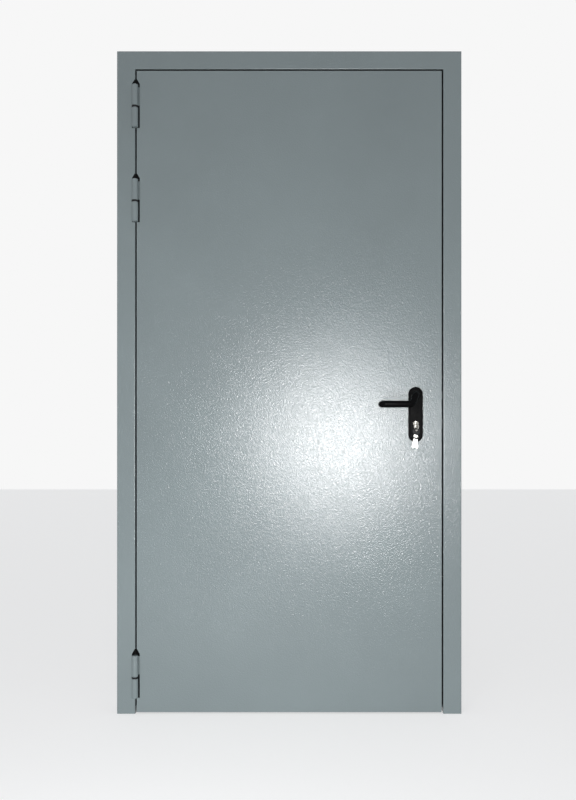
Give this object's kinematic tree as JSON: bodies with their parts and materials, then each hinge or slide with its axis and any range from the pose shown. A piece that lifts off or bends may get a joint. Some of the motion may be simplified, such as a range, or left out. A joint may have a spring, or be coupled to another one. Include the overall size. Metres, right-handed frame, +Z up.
{
  "type": "fire door",
  "caption": "Flush single-leaf steel fire door in a bent sheet frame, with barrel hinges, a bent lever handle, an oblong plate and a keyed cylinder lock.",
  "frame": {"origin": "centre of the threshold's flat underside, on the floor", "axes": "+X along the wall to the lock side, +Y through the wall away from the hinge barrels, +Z up"},
  "size_m": [1.092, 0.173, 2.1],
  "materials": {
    "frame_paint": "semi-gloss blue-grey paint with a fine orange-peel texture",
    "leaf_paint": "semi-gloss blue-grey paint with a fine orange-peel texture",
    "mineral_core": "dense mineral-fibre board",
    "zinc_steel": "zinc-plated steel",
    "seal_strip": "matt black swelling strip",
    "black_plastic": "satin black moulded plastic",
    "cylinder_metal": "satin nickel plate",
    "key_metal": "bright nickel plate",
    "black_steel": "blackened and oiled steel"
  },
  "bodies": {
    "frame": {"hinge_jamb": "frame_paint", "lock_jamb": "frame_paint", "head": "frame_paint", "stop_head": "frame_paint", "stop_lock_side": "frame_paint", "stop_hinge_side": "frame_paint", "threshold": "zinc_steel", "strike_plate": "frame_paint", "seal_hinge_side": "seal_strip", "seal_lock_side": "seal_strip", "seal_head": "seal_strip", "anchor_hinge_1": "zinc_steel", "anchor_hinge_2": "zinc_steel", "anchor_hinge_3": "zinc_steel", "anchor_lock_1": "zinc_steel", "anchor_lock_2": "zinc_steel", "anchor_lock_3": "zinc_steel", "hinge_lower_1": "frame_paint", "hinge_lower_2": "frame_paint", "hinge_lower_3": "frame_paint", "hinge_pin_1": "black_steel", "hinge_pin_2": "black_steel", "hinge_pin_3": "black_steel"},
    "leaf": {"leaf_front_skin": "leaf_paint", "leaf_back_skin": "leaf_paint", "leaf_core": "mineral_core", "hinge_upper_1": "leaf_paint", "hinge_upper_2": "leaf_paint", "hinge_upper_3": "leaf_paint", "lock_faceplate": "zinc_steel", "lock_case": "zinc_steel", "latch_bolt": "zinc_steel", "dead_bolt": "zinc_steel", "plate_front": "black_plastic", "plate_back": "black_plastic", "cylinder_body": "cylinder_metal", "plug_back": "cylinder_metal"},
    "handle": {"lever_front": "black_plastic", "lever_back": "black_plastic", "spindle": "zinc_steel"},
    "lock_key": {"plug_front": "cylinder_metal", "key": "key_metal", "key_head": "black_plastic"},
    "hanging_keys": {"key_ring": "key_metal", "hanging_key_1": "key_metal", "hanging_key_2": "key_metal", "hanging_head_1": "black_plastic", "hanging_head_2": "black_plastic"}
  },
  "joints": [
    {"name": "door_swing", "type": "hinge", "parent": "frame", "child": "leaf", "pos_m": [-0.4875, -0.093, 1.05], "axis": [0, 0, -1], "range_deg": [0, 170]},
    {"name": "lever_turn", "type": "hinge", "parent": "leaf", "child": "handle", "pos_m": [0.4, -0.099, 1.011], "axis": [0, -1, 0], "range_deg": [0, 40], "stiffness_Nm_per_rad": 1.2, "springref_deg": -20.05},
    {"name": "key_turn", "type": "hinge", "parent": "leaf", "child": "lock_key", "pos_m": [0.4, -0.102, 0.919], "axis": [0, -1, 0], "range_deg": [0, 90]},
    {"name": "ring_swing", "type": "hinge", "parent": "lock_key", "child": "hanging_keys", "pos_m": [0.4, -0.1193, 0.9172], "axis": [-0.7193, 0.6947, 0], "range_deg": [0, 60]}
  ]
}
